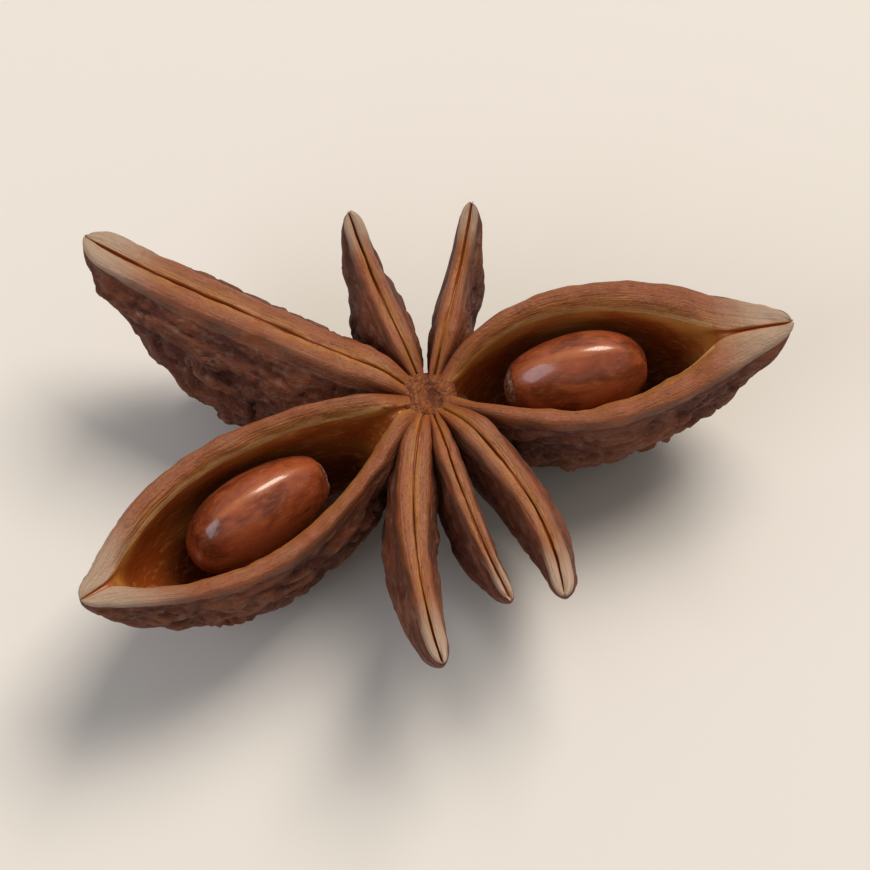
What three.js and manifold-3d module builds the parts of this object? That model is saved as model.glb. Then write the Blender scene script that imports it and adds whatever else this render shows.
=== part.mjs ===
// Star anise pod: a dried star-shaped fruit, lying with its open side up.
//
// Eight boat-shaped carpels stand round a short column. Each carpel is a thick woody wall folded into a
// boat: keel below, two pale lips above. Two carpels have burst open and show a seed, one large carpel
// has stayed shut, and five are thin and never filled. The husk, which is the carpels, the column and
// the stump of the stalk, is one solid. Each loose seed is a solid of its own.
//
// Units are millimetres. +Z is up. The origin is on the column's axis, at the flat foot of the stump.

import * as THREE from "three";
import { mergeVertices } from "three/addons/utils/BufferGeometryUtils.js";
import Module from "manifold-3d";

const wasm = await Module();
wasm.setup();

// ---------------------------------------------------------------- driving dimensions

const RIM_HEIGHT = 8.1; // the lips' height over the foot, beside the column
const REST_HEIGHT = 0; // the keels are flattened here, so that the pod rests
const CRATER = { depth: 1.3, radius: 1.6 }; // the lips dip where they meet round the column
const LIP = 1.05; // width of the pale band along an open carpel's lip
const LIP_SWELLS = { count: 5, share: 0.2 }; // how often and by how much a lip's width wanders
const LIP_WAVES = { count: 4, height: 0.5 }; // how often and how far the lips rise and fall
const BROADENING = { start: 0.3, over: 0.6 }; // shares of the length over which the lips grow broader
const SAG = 0.25; // of the lips, half way out
const TIP_POWER = 2.4; // the tip's rise over the lips comes late
const SLIT = 0.06; // half-width of the seam between shut lips
const SEAM = { depth: 0.3, least: 0.25, count: 6 }; // groove between shut lips, and how its depth wanders
const PARTING = 2.5; // a seam has the section of parted lips once it gapes by 1 / PARTING of its full width
const FLOOR_SHARE = 0.81; // of an open carpel's depth, from the lips to the cavity's floor
const OUTLINE_FULLNESS = 0.82; // of an open carpel seen from above: 1 is a sine, and less is blunter
const ROUNDING = { rim: 0.4, slit: 0.25, belly: 0.05 }; // widths over which one size gives way to another
const NOSE_START = 0.92; // share of a carpel's length at which its tip starts to round off
const NOSE_DEPTH = 0.3; // depth at the very tip, as a share of that where the tip starts to round off
const ROOT_TAPER = { width: 0.42, length: 3.4 }; // a carpel is this narrow on the axis, full this far out
const BELLY_POWER = 1.3; // how much sooner the body narrows towards its ends than the lips do
const KEEL_PEAK = 0.4; // share of a carpel's length at which it is deepest
const HULL_ENDS = { root: 0.72, tip: 0.17 }; // depth at the root and at the tip, as shares of the deepest

const COLUMN = { radius: 2.15, knob: 1.3, waist: 1.7, top: RIM_HEIGHT - 0.85 };
const STUMP = { radius: 1.25, height: 1.5, flare: 0.2 };

// azimuth: of the root, in degrees from +X. reach: from the axis to the tip. swerve: how far the tip
// drifts sideways, anticlockwise. bend: the drift's power, 2 all along and 4 only near the tip. rise: of
// the tip's lips over RIM_HEIGHT. depth: lips to keel. belly: half-width of the body. rim: half-width
// across the lips where they are shut. gape: half-width of the opening, 0 if shut. widest: share of the
// length where it is widest. narrow: width across the shut lips at the tip, as a share of that nearer
// the root. flare: how many times wider an open carpel's lips are near the tip. lean: roll of the body
// about its length, in degrees.
const CARPELS = [
  {
    name: "right", azimuth: 15.3, reach: 16.1, swerve: -1.6, bend: 2, rise: 0.5, depth: 8.15,
    belly: 3.1, rim: 0.95, gape: 2.3, widest: 0.46, narrow: 0.9, flare: 1.8, lean: 4,
  },
  {
    name: "front_left", azimuth: 216, reach: 18.2, swerve: -0.1, bend: 2, rise: 0.5, depth: 8.2,
    belly: 3.2, rim: 0.95, gape: 2.28, widest: 0.54, narrow: 0.85, flare: 1.2, lean: -3,
  },
  {
    name: "back_left", azimuth: 156.6, reach: 16.6, swerve: -0.2, bend: 2, rise: 1, depth: 8.35,
    belly: 2.35, rim: 0.98, gape: 0, widest: 0.5, narrow: 1, flare: 1, lean: 5,
  },
  {
    name: "front", azimuth: 256.5, reach: 13.1, swerve: 3.8, bend: 2, rise: 0.7, depth: 6.1,
    belly: 1.15, rim: 0.74, gape: 0, widest: 0.45, narrow: 0.6, flare: 1, lean: -4,
  },
  {
    name: "front_right", azimuth: 314.5, reach: 11.4, swerve: -3, bend: 3, rise: 0.3, depth: 5.4,
    belly: 1.05, rim: 0.7, gape: 0, widest: 0.5, narrow: 0.75, flare: 1, lean: 6,
  },
  {
    name: "front_thin", azimuth: 283, reach: 10.9, swerve: 1.15, bend: 2, rise: 0, depth: 4.7,
    belly: 0.75, rim: 0.45, gape: 0, widest: 0.5, narrow: 0.75, flare: 1, lean: -3,
  },
  {
    name: "back", azimuth: 117, reach: 8.7, swerve: -0.5, bend: 2, rise: 1.2, depth: 5.6,
    belly: 1.2, rim: 0.58, gape: 0, widest: 0.5, narrow: 0.85, flare: 1, lean: 3,
  },
  {
    name: "back_right", azimuth: 74, reach: 8.7, swerve: 0.5, bend: 2, rise: 1.2, depth: 5,
    belly: 0.95, rim: 0.5, gape: 0, widest: 0.5, narrow: 0.85, flare: 1, lean: -5,
  },
];

// carpel: the one that holds it. along: its middle, as a share of the carpel's length. sunk: its top
// below the lips. aside: its middle off the carpel's, anticlockwise. length, width and height are across
// the whole seed.
const SEEDS = [
  {
    name: "seed_right", carpel: "right", along: 0.415, sunk: -0.3, aside: 0.15,
    length: 6.5, width: 3.6, height: 5.3, roll: 4,
  },
  {
    name: "seed_front_left", carpel: "front_left", along: 0.485, sunk: 0.1, aside: -0.4,
    length: 7.2, width: 3.6, height: 5.2, roll: -3,
  },
];

// pole: the angle left out at each end. scar: where the flat end is cut, as a share of the half length.
// power: of the sine that gives the girth, and less is blunter. swell: how much fuller the outer end is.
const SEED_FORM = { pole: 0.04, scar: 0.95, power: 0.85, swell: 0.1 };

const WRINKLE = { length: 2.6, width: 1.2, height: 0.65 }; // of the folds on the outer wall
const OUTER_WALL = { full: 0.14, none: 0.22 }; // places round, from the keel, between which the folds fade

const BIG_REACH = 15; // a carpel with a longer reach gets the finer steps
const STEPS = {
  big: { length: 25, round: 32 },
  small: { length: 15, round: 20 },
  column: { round: 20 },
  seed: { length: 14, round: 18 },
};

const FINISHES = {
  husk: { color: 0x7a4528, roughness: 0.75, metalness: 0 },
  seed: { color: 0x8a4a33, roughness: 0.25, metalness: 0 },
};

// ---------------------------------------------------------------- small helpers

const radians = THREE.MathUtils.degToRad;
const mix = (a, b, t) => a + (b - a) * t;
const clamp01 = (t) => Math.min(Math.max(t, 0), 1);
const smooth = (t) => clamp01(t) ** 2 * (3 - 2 * clamp01(t));
const carpelNumber = (carpel) => CARPELS.indexOf(carpel);

// A repeatable number from 0 to 1 for each point of a whole-number lattice.
function latticeValue(i, j, k) {
  const s = Math.sin(i * 127.1 + j * 311.7 + k * 74.7) * 43758.5453;
  return s - Math.floor(s);
}

// Smooth noise from 0 to 1: the lattice's values, blended over the cell that holds the point.
function noise(x, y, z) {
  const [i, j, k] = [Math.floor(x), Math.floor(y), Math.floor(z)];
  const [u, v, w] = [smooth(x - i), smooth(y - j), smooth(z - k)];
  const edge = (b, c) => mix(latticeValue(i, b, c), latticeValue(i + 1, b, c), u);
  return mix(mix(edge(j, k), edge(j + 1, k), v), mix(edge(j, k + 1), edge(j + 1, k + 1), v), w);
}

// ---------------------------------------------------------------- a carpel's form along its length

// 0 at both ends and 1 at the widest place, for a share of the length.
function lens(share, widest) {
  return Math.sin(Math.PI * share ** (Math.log(0.5) / Math.log(widest)));
}

// The larger of two sizes, with the corner between them rounded over a width.
function larger(a, b, width) {
  return (a + b + Math.hypot(a - b, width)) / 2;
}

// Depth as a share of the deepest: an arc down from the root and a longer one up to the tip.
function hull(share) {
  if (share < KEEL_PEAK) return 1 - (1 - HULL_ENDS.root) * (1 - share / KEEL_PEAK) ** 2;
  return 1 - (1 - HULL_ENDS.tip) * ((share - KEEL_PEAK) / (1 - KEEL_PEAK)) ** 1.9;
}

// 1 along the body, and a quarter ellipse down to 0 at the very tip.
function nose(share) {
  const past = clamp01((share - NOSE_START) / (1 - NOSE_START));
  return Math.sqrt(Math.max(0, 1 - past * past));
}

// The carpel's sizes at a share of its length.
function stationOf(carpel, share) {
  const burst = carpel.gape > 0;
  const end = nose(share);
  const middle = lens(share, carpel.widest);
  const outward = smooth((share - BROADENING.start) / BROADENING.over);
  const swell = noise(share * LIP_SWELLS.count, carpelNumber(carpel), 3.5) - 0.5;
  const unevenness = 1 + LIP_SWELLS.share * swell;
  const taper = mix(ROOT_TAPER.width, 1, smooth((share * carpel.reach) / ROOT_TAPER.length));
  const shut = carpel.rim * unevenness * taper * mix(1, carpel.narrow, outward);
  const outline = (carpel.gape + LIP) * middle ** OUTLINE_FULLNESS;
  const rim = burst ? larger(shut, outline, ROUNDING.rim) : shut;
  const lip = LIP * unevenness * mix(1, carpel.flare, outward);
  const opening = burst ? larger(SLIT, rim - lip, ROUNDING.slit) : SLIT;
  const open = burst ? Math.min(1, (opening - SLIT) / carpel.gape) : 0;
  const belly = larger(rim, mix(shut, carpel.belly, middle ** BELLY_POWER) * taper, ROUNDING.belly);
  const depth = carpel.depth * hull(share) * mix(NOSE_DEPTH, 1, end);
  const wander = mix(SEAM.least, 1, noise(share * SEAM.count, carpelNumber(carpel), 9.1));
  const parted = smooth(open * PARTING);
  const floor = mix(Math.min(SEAM.depth, 0.3 * depth) * wander, FLOOR_SHARE * depth, parted);
  return { rim: rim * end, opening: opening * end, belly: belly * end, depth, floor, parted };
}

// The lips' height at a share of the length: a dip on the axis, a slack middle and a raised tip.
function lipHeight(carpel, share) {
  const dip = CRATER.depth * Math.exp(-(((share * carpel.reach) / CRATER.radius) ** 2));
  const swing = noise(share * LIP_WAVES.count, 7.3, carpelNumber(carpel)) - 0.5;
  const wave = LIP_WAVES.height * swing * smooth(share * 3);
  return RIM_HEIGHT + carpel.rise * share ** TIP_POWER - SAG * Math.sin(Math.PI * share) + wave - dip;
}

// The middle of the lips at a share of the length, and the level direction across them.
function spine(carpel, share) {
  const turn = radians(carpel.azimuth);
  const out = new THREE.Vector2(Math.cos(turn), Math.sin(turn));
  const side = new THREE.Vector2(-Math.sin(turn), Math.cos(turn));
  const along = share * carpel.reach;
  const drift = carpel.swerve * share ** carpel.bend;
  const slope = (carpel.bend * carpel.swerve * share ** (carpel.bend - 1)) / carpel.reach;
  const across = side.clone().addScaledVector(out, -slope).normalize();
  return { x: out.x * along + side.x * drift, y: out.y * along + side.y * drift, across };
}

// ---------------------------------------------------------------- a carpel's section

// Control points of one half of the section, from keel to cavity floor: [sideways, up from the lips].
// A shut lip is round on top. An open one has a flat top and then slopes down into the cavity.
function halfSection({ rim, opening, belly, depth, floor, parted }) {
  return [
    [0, -depth],
    [0.36 * belly, -0.97 * depth],
    [0.76 * belly, -0.76 * depth],
    [1.02 * belly, -0.45 * depth],
    [mix(belly, rim, 0.55), -0.17 * depth],
    [rim * 1.02, -0.05 * depth],
    [rim * mix(0.9, 1, parted), mix(0.05, 0.13, parted)],
    [mix(opening, rim, 0.5), mix(0.14, 0.12, parted)],
    [mix(opening, rim, mix(0.02, 0.12, parted)), mix(-0.05, -0.35, parted)],
    [1.05 * opening, mix(-0.4, -0.25, parted) * floor],
    [1.16 * opening, -0.56 * floor],
    [0.78 * opening, -0.92 * floor],
    [0, -floor],
  ];
}

// A closed smooth curve (uniform cubic B-spline) near its control points.
function closedCurve(controls, count) {
  return Array.from({ length: count }, (_, n) => {
    const place = (n * controls.length) / count;
    const first = Math.floor(place);
    const t = place - first;
    const weights = [
      (1 - t) ** 3,
      3 * t ** 3 - 6 * t ** 2 + 4,
      -3 * t ** 3 + 3 * t ** 2 + 3 * t + 1,
      t ** 3,
    ];
    const point = [0, 0];
    weights.forEach((weight, m) => {
      const control = controls[(first + m - 1 + controls.length) % controls.length];
      point[0] += (weight / 6) * control[0];
      point[1] += (weight / 6) * control[1];
    });
    return point;
  });
}

// How far the outer wall's folds stand out at a point of the section, between -1 and 1.
function fold(carpel, along, sideways, up) {
  const seed = 11.3 * carpelNumber(carpel);
  const n = noise(along / WRINKLE.length + seed, sideways / WRINKLE.width, up / WRINKLE.width);
  return 1 - 2 * Math.abs(2 * n - 1);
}

// The section at a share of the length, with the folds pushed out of its outer wall.
function sectionOf(carpel, share, count) {
  const station = stationOf(carpel, share);
  const right = halfSection(station);
  const left = right.slice(1, -1).reverse().map(([y, z]) => [-y, z]);
  const curve = closedCurve([...right, ...left], count);
  const fullness = Math.min(1, station.belly / 2) * smooth(station.depth / 2) * nose(share);
  const { full, none } = OUTER_WALL;
  return curve.map(([y, z], n) => {
    const [before, after] = [curve.at(n - 1), curve[(n + 1) % count]];
    const [ty, tz] = [after[0] - before[0], after[1] - before[1]];
    const size = Math.hypot(ty, tz) || 1;
    const outer = 1 - smooth((Math.abs(wrapped(n / count)) - full) / (none - full));
    const push = outer * fullness * 0.5 * WRINKLE.height * fold(carpel, share * carpel.reach, y, z);
    return [y + (push * tz) / size, z - (push * ty) / size];
  });
}

// A share of the way round the section, counted from the keel and running from -0.5 to 0.5.
function wrapped(turn) {
  return turn - Math.round(turn);
}

// A closed carpel: rings of section points from root to tip, with a fan over each end.
function carpelGeometry(carpel) {
  const { length, round } = carpel.reach > BIG_REACH ? STEPS.big : STEPS.small;
  const points = [];
  for (let i = 0; i <= length; i++) {
    const share = ringShare(i / length);
    const roll = radians(carpel.lean) * smooth(share * 2);
    const { x, y, across } = spine(carpel, share);
    const top = lipHeight(carpel, share);
    for (const [sideways, up] of sectionOf(carpel, share, round)) {
      const rolledSide = sideways * Math.cos(roll) - up * Math.sin(roll);
      const rolledUp = up * Math.cos(roll) + sideways * Math.sin(roll);
      const height = Math.max(REST_HEIGHT, top + rolledUp);
      points.push(x + across.x * rolledSide, y + across.y * rolledSide, height);
    }
  }
  return closedTube(points, length, round);
}

// Rings lie closer together towards the tip, where the form rounds off, and the last is nearly a point.
function ringShare(step) {
  return Math.min(0.9995, 1 - (1 - mix(step, step * step, 0.5)) ** 1.9);
}

// A closed surface through rings of points: quads between the rings and a fan at each end.
function closedTube(points, rings, count) {
  const faces = [];
  const at = (ring, n) => ring * count + (n % count);
  for (let i = 0; i < rings; i++) {
    for (let n = 0; n < count; n++) {
      faces.push(at(i, n), at(i + 1, n + 1), at(i + 1, n));
      faces.push(at(i, n), at(i, n + 1), at(i + 1, n + 1));
    }
  }
  for (const ring of [0, rings]) {
    const centre = points.length / 3;
    const middle = [0, 0, 0];
    for (let n = 0; n < count; n++) {
      for (let k = 0; k < 3; k++) middle[k] += points[3 * at(ring, n) + k] / count;
    }
    points.push(...middle);
    for (let n = 0; n < count; n++) {
      if (ring === 0) faces.push(centre, at(ring, n + 1), at(ring, n));
      else faces.push(centre, at(ring, n), at(ring, n + 1));
    }
  }
  return new THREE.BufferGeometry()
    .setAttribute("position", new THREE.BufferAttribute(new Float32Array(points), 3))
    .setIndex(faces);
}

// ---------------------------------------------------------------- the column and the seeds

// The column, with a blunt knob on top and the stump of the stalk under it.
function columnGeometry() {
  const { radius, knob, waist, top } = COLUMN;
  const profile = [
    [0, 0],
    [STUMP.radius, 0],
    [STUMP.radius + STUMP.flare * 0.4, STUMP.height * 0.2],
    [STUMP.radius - STUMP.flare * 0.6, STUMP.height * 0.6],
    [STUMP.radius + STUMP.flare, STUMP.height],
    [waist, STUMP.height + 0.6],
    [radius, mix(STUMP.height, top, 0.3)],
    [radius * 0.95, mix(STUMP.height, top, 0.55)],
    [knob * 0.9, mix(STUMP.height, top, 0.8)],
    [knob, top - 0.4],
    [knob * 0.85, top - 0.1],
    [knob * 0.5, top],
    [knob * 0.2, top - 0.12],
    [0, top - 0.25],
  ];
  const outline = profile.map(([r, z]) => new THREE.Vector2(r, z));
  return new THREE.LatheGeometry(outline, STEPS.column.round).rotateX(Math.PI / 2);
}

// A seed: a flattened egg with a blunt scar at the end that faces the column.
function seedGeometry(seed) {
  const carpel = CARPELS.find(({ name }) => name === seed.carpel);
  const { length, round } = STEPS.seed;
  const points = [];
  for (let i = 0; i <= length; i++) {
    const polar = mix(SEED_FORM.pole, Math.PI - SEED_FORM.pole, i / length);
    const along = Math.max(-SEED_FORM.scar, -Math.cos(polar));
    const girth = Math.sin(polar) ** SEED_FORM.power * (1 + SEED_FORM.swell * along);
    for (let n = 0; n < round; n++) {
      const turn = (-2 * Math.PI * n) / round;
      points.push(
        (along * seed.length) / 2,
        (Math.sin(turn) * girth * seed.width) / 2,
        (Math.cos(turn) * girth * seed.height) / 2,
      );
    }
  }
  const { x, y, across } = spine(carpel, seed.along);
  const middle = lipHeight(carpel, seed.along) - seed.sunk - seed.height / 2;
  const heading = Math.atan2(-across.x, across.y);
  return closedTube(points, length, round)
    .rotateX(radians(seed.roll))
    .rotateZ(heading)
    .translate(x + across.x * seed.aside, y + across.y * seed.aside, middle);
}

// ---------------------------------------------------------------- solids and meshes

function solidOf(geometry) {
  const bare = geometry.clone();
  bare.deleteAttribute("normal");
  bare.deleteAttribute("uv");
  const merged = mergeVertices(bare, 1e-4);
  return new wasm.Manifold(
    new wasm.Mesh({
      numProp: 3,
      vertProperties: merged.attributes.position.array,
      triVerts: new Uint32Array(merged.index.array),
    }),
  );
}

function geometryOf(solid) {
  const { vertProperties, triVerts } = solid.getMesh();
  return new THREE.BufferGeometry()
    .setAttribute("position", new THREE.BufferAttribute(vertProperties, 3))
    .setIndex(new THREE.BufferAttribute(triVerts, 1));
}

function named(name, geometry, finish) {
  const mesh = new THREE.Mesh(geometry, new THREE.MeshStandardMaterial(finish));
  mesh.name = name;
  return mesh;
}

const husk = CARPELS.map(carpelGeometry)
  .map(solidOf)
  .reduce((joined, carpel) => joined.add(carpel), solidOf(columnGeometry()));

const pod = new THREE.Group();
pod.add(named("husk", geometryOf(husk), FINISHES.husk));
SEEDS.forEach((seed) => pod.add(named(seed.name, seedGeometry(seed), FINISHES.seed)));

export default pod;
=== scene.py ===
# %% [markdown]
# # A star anise pod
#
# Star anise is the dried fruit of a small evergreen tree. Eight boat-shaped carpels grow in a ring round a
# short column. As the fruit dries, some carpels burst along their top seam and show a polished seed, and
# thin ones that never filled stay shut. This lesson builds one such pod, life size, from surfaces worked
# out with numpy, and then gives each surface the finish of the real fruit: a dull wrinkled skin, pale lips
# where the seam has parted, a smooth lining and glossy seeds.
#
# The pod's solid model is already packed as a fixed frame. We load it first.

import bmesh
import bpy
import numpy as np
from mathutils import Euler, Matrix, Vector


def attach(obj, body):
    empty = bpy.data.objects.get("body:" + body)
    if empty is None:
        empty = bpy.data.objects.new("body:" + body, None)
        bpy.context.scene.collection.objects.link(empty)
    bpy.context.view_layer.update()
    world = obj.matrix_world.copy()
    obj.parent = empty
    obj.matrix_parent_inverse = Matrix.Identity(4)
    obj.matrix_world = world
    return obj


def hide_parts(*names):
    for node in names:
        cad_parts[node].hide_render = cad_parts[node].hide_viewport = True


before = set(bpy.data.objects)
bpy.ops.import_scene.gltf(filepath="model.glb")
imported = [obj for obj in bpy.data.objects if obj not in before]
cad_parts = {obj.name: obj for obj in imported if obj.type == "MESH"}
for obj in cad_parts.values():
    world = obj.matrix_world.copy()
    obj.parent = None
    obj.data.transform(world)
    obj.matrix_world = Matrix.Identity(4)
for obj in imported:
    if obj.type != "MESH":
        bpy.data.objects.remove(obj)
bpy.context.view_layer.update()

# %% [markdown]
# ## The sizes that drive the form
#
# The finished husk has the solid model's own form, only finer, so it starts from the same sizes. A pod is
# easier to think about in millimetres, and Blender works in metres, so each mesh is shrunk by MM as it is
# made.
#
# One row for each carpel says where it points, how far it reaches, how it bends, and how wide it gapes. A
# list of rows is better here than eight hand-made shapes, because carpels differ only in their sizes.

# %% Named sizes, in millimetres
MM = 0.001

RIM_HEIGHT = 8.1  # the lips' height over the foot, beside the column
REST_HEIGHT = 0.0  # the keels are flattened here, so that the pod rests
CRATER = {"depth": 1.3, "radius": 1.6}  # the lips dip where they meet round the column
LIP = 1.05  # width of the pale band along an open carpel's lip
LIP_SWELLS = {"count": 5, "share": 0.2}  # how often and by how much a lip's width wanders
LIP_WAVES = {"count": 4, "height": 0.5}  # how often and how far the lips rise and fall
BROADENING = {"start": 0.3, "over": 0.6}  # shares of the length over which the lips grow broader
SAG = 0.25  # of the lips, half way out
TIP_POWER = 2.4  # the tip's rise over the lips comes late
SLIT = 0.035  # half-width of the seam between shut lips
SEAM = {"depth": 0.3, "least": 0.25, "count": 6}  # groove between shut lips, and how its depth wanders
PARTING = 2.5  # the section is that of parted lips once the seam gapes by 1 / PARTING of its full width
FLOOR_SHARE = 0.81  # of an open carpel's depth, from the lips to the cavity's floor
OUTLINE_FULLNESS = 0.82  # of an open carpel seen from above: 1 is a sine, and less is blunter
ROUNDING = {"rim": 0.4, "slit": 0.25, "belly": 0.05}  # widths over which one size gives way to another
NOSE_START = 0.92  # share of the length at which the tip starts to round off
NOSE_DEPTH = 0.3  # depth at the very tip, as a share of that where the tip starts to round off
ROOT_TAPER = {"width": 0.42, "length": 3.4}  # this narrow on the axis, full width this far out
BELLY_POWER = 1.3  # how much sooner the body narrows towards its ends than the lips do
KEEL_PEAK = 0.4  # share of the length at which a carpel is deepest
HULL_ENDS = {"root": 0.72, "tip": 0.17}  # depth at the root and at the tip, as shares of the deepest
WRINKLE = {"length": 2.6, "width": 1.2, "height": 0.65}  # of the large folds on the outer wall
THIN = 2  # a body less wide or deep than this has lower folds
OUTER_WALL = {"full": 0.14, "none": 0.22}  # places round, between which the folds fade out

COLUMN = {"radius": 2.15, "knob": 1.3, "waist": 1.7, "top": RIM_HEIGHT - 0.85}
STUMP = {"radius": 1.25, "height": 1.5, "flare": 0.2}


def rows_of(terms, *rows):
    """A dictionary for each row, with the terms as its keys."""
    return [dict(zip(terms, row)) for row in rows]


# azimuth and lean are in degrees, reach, swerve, rise, depth, belly, rim and gape in millimetres, and
# widest is a share. belly, rim and gape are half-widths: of the body, across shut lips, and of the
# opening. narrow is the width of shut lips at the tip, as a share of that nearer the root, and flare says
# how many times wider an open carpel's lips are near the tip.
CARPELS = rows_of(
    ("name", "azimuth", "reach", "swerve", "bend", "rise", "depth", "belly", "rim", "gape",
     "widest", "narrow", "flare", "lean"),
    ("right", 15.3, 16.1, -1.6, 2, 0.5, 8.15, 3.1, 0.95, 2.3, 0.46, 0.9, 1.8, 4),
    ("front_left", 216, 18.2, -0.1, 2, 0.5, 8.2, 3.2, 0.95, 2.28, 0.54, 0.85, 1.2, -3),
    ("back_left", 156.6, 16.6, -0.2, 2, 1, 8.35, 2.35, 0.98, 0, 0.5, 1, 1, 5),
    ("front", 256.5, 13.1, 3.8, 2, 0.7, 6.1, 1.15, 0.74, 0, 0.45, 0.6, 1, -4),
    ("front_right", 314.5, 11.4, -3, 3, 0.3, 5.4, 1.05, 0.7, 0, 0.5, 0.75, 1, 6),
    ("front_thin", 283, 10.9, 1.15, 2, 0, 4.7, 0.75, 0.45, 0, 0.5, 0.75, 1, -3),
    ("back", 117, 8.7, -0.5, 2, 1.2, 5.6, 1.2, 0.58, 0, 0.5, 0.85, 1, 3),
    ("back_right", 74, 8.7, 0.5, 2, 1.2, 5, 0.95, 0.5, 0, 0.5, 0.85, 1, -5),
)
for number, carpel in enumerate(CARPELS):
    carpel["number"] = number
    carpel["start"] = 11.3 * number  # along the noise: no two are wrinkled alike
print(len(CARPELS), "carpels, reaching", [c["reach"] for c in CARPELS], "mm")

# %% [markdown]
# ## Unevenness that repeats
#
# Nothing on a dried fruit is even, so every size below gets a little noise. Ready-made random numbers
# would do, but value noise has two advantages: it is smooth, so neighbouring points agree, and it depends
# only on the place, so each run gives the same pod. We read a number off at the eight corners of the
# lattice cell that holds a point, and blend them.

# %% Smooth noise


def mix(a, b, t):
    """a where t is 0 and b where t is 1, straight between."""
    return a + (b - a) * t


def smooth(t):
    """3t² − 2t³, held at 0 below 0 and at 1 above 1."""
    t = np.clip(t, 0, 1)
    return t * t * (3 - 2 * t)


def past(value, start, over):
    """0 up to the start, 1 once the value is over it by as much as "over" says, and smooth between."""
    return smooth((value - start) / over)


def lattice_value(i, j, k):
    """The fraction that is left of 43758.5453 times the sine of 127.1i + 311.7j + 74.7k."""
    s = np.sin(i * 127.1 + j * 311.7 + k * 74.7) * 43758.5453
    return s - np.floor(s)


def noise(x, y, z):
    """Lattice values at the cell's eight corners, blended by the smoothed place within the cell."""
    x, y, z = np.broadcast_arrays(x, y, z)
    i, j, k = np.floor(x), np.floor(y), np.floor(z)
    u, v, w = smooth(x - i), smooth(y - j), smooth(z - k)
    edge = [mix(lattice_value(i, j + b, k + c), lattice_value(i + 1, j + b, k + c), u)
            for c in (0, 1) for b in (0, 1)]
    return mix(mix(edge[0], edge[1], v), mix(edge[2], edge[3], v), w)


def ridged(n):
    """Noise n from 0 to 1 turned into folds: 1 along the lines where n is a half, −1 far from them."""
    return 1 - 2 * np.abs(2 * n - 1)


def grooved(n):
    """Noise n from 0 to 1 turned into round ridges: −1 in narrow grooves where n is a half, 1 between."""
    return 2 * np.sin(np.pi / 2 * np.minimum(1, 2.2 * np.abs(2 * n - 1))) - 1


GROOVED_MEAN = 0.37  # grooved noise less this, its mean, moves a wall neither out nor in


def stacked(*parts):
    """The parts side by side on a new last axis, such as x, y and z."""
    return np.stack(np.broadcast_arrays(*parts), axis=-1)


def in_cells(pattern, start, along, across, up):
    """A place counted in a pattern's own lengths along, from a start, and in its widths across and up."""
    return along / pattern["length"] + start, across / pattern["width"], up / pattern["width"]


print("noise at three places:", noise(np.array([0.5, 1.5, 2.5]), 0.2, 0.7).round(3))

# %% [markdown]
# ## How a carpel changes along its length
#
# A carpel is a boat: narrow and deep at the root, widest half way, and turned up to a small beak. We give
# each size as a function of the share of the length, from 0 on the axis to 1 at the beak. Every function
# takes a whole column of shares at once, so one call gives the sizes of all the sections.

# %% Sizes along the length


def lens(share, widest):
    """The sine of pi times a power of the share, 0 at both ends and 1 where the share is widest."""
    return np.sin(np.pi * share ** (np.log(0.5) / np.log(widest)))


def larger(a, b, width):
    """Half of a + b + √((a − b)² + width²): the larger of the two, with the corner between rounded."""
    return (a + b + np.hypot(a - b, width)) / 2


def hull(share):
    """Depth as a share of the deepest: a parabola down from the root, then a power of 1.9 up to the tip."""
    root = 1 - (1 - HULL_ENDS["root"]) * (1 - share / KEEL_PEAK) ** 2
    tip = 1 - (1 - HULL_ENDS["tip"]) * np.clip((share - KEEL_PEAK) / (1 - KEEL_PEAK), 0, 1) ** 1.9
    return np.where(share < KEEL_PEAK, root, tip)


def nose(share):
    """1 along the body, then a quarter ellipse down to 0 at the very tip."""
    rounded = np.clip((share - NOSE_START) / (1 - NOSE_START), 0, 1)
    return np.sqrt(1 - rounded**2)


def station_of(carpel, share):
    """Half-widths of lips, opening and body, and depths of keel and cavity, each a column of numbers."""
    burst, end = carpel["gape"] > 0, nose(share)
    middle = lens(share, carpel["widest"])
    outward = past(share, **BROADENING)
    unevenness = 1 + LIP_SWELLS["share"] * (noise(share * LIP_SWELLS["count"], carpel["number"], 3.5) - 0.5)
    taper = mix(ROOT_TAPER["width"], 1, smooth(share * carpel["reach"] / ROOT_TAPER["length"]))
    shut = carpel["rim"] * unevenness * taper * mix(1, carpel["narrow"], outward)
    outline = (carpel["gape"] + LIP) * middle**OUTLINE_FULLNESS
    rim = larger(shut, outline, ROUNDING["rim"]) if burst else shut
    lip = LIP * unevenness * mix(1, carpel["flare"], outward)
    opening = larger(SLIT, rim - lip, ROUNDING["slit"]) if burst else SLIT + 0 * share
    opened = np.minimum(1, (opening - SLIT) / carpel["gape"]) if burst else 0 * share
    belly = larger(rim, mix(shut, carpel["belly"], middle**BELLY_POWER) * taper, ROUNDING["belly"])
    depth = carpel["depth"] * hull(share) * mix(NOSE_DEPTH, 1, end)
    wander = mix(SEAM["least"], 1, noise(share * SEAM["count"], carpel["number"], 9.1))
    parted = smooth(opened * PARTING)
    floor = mix(np.minimum(SEAM["depth"], 0.3 * depth) * wander, FLOOR_SHARE * depth, parted)
    return {
        "rim": rim * end, "opening": opening * end, "belly": belly * end,
        "depth": depth, "floor": floor, "parted": parted,
    }


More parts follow.
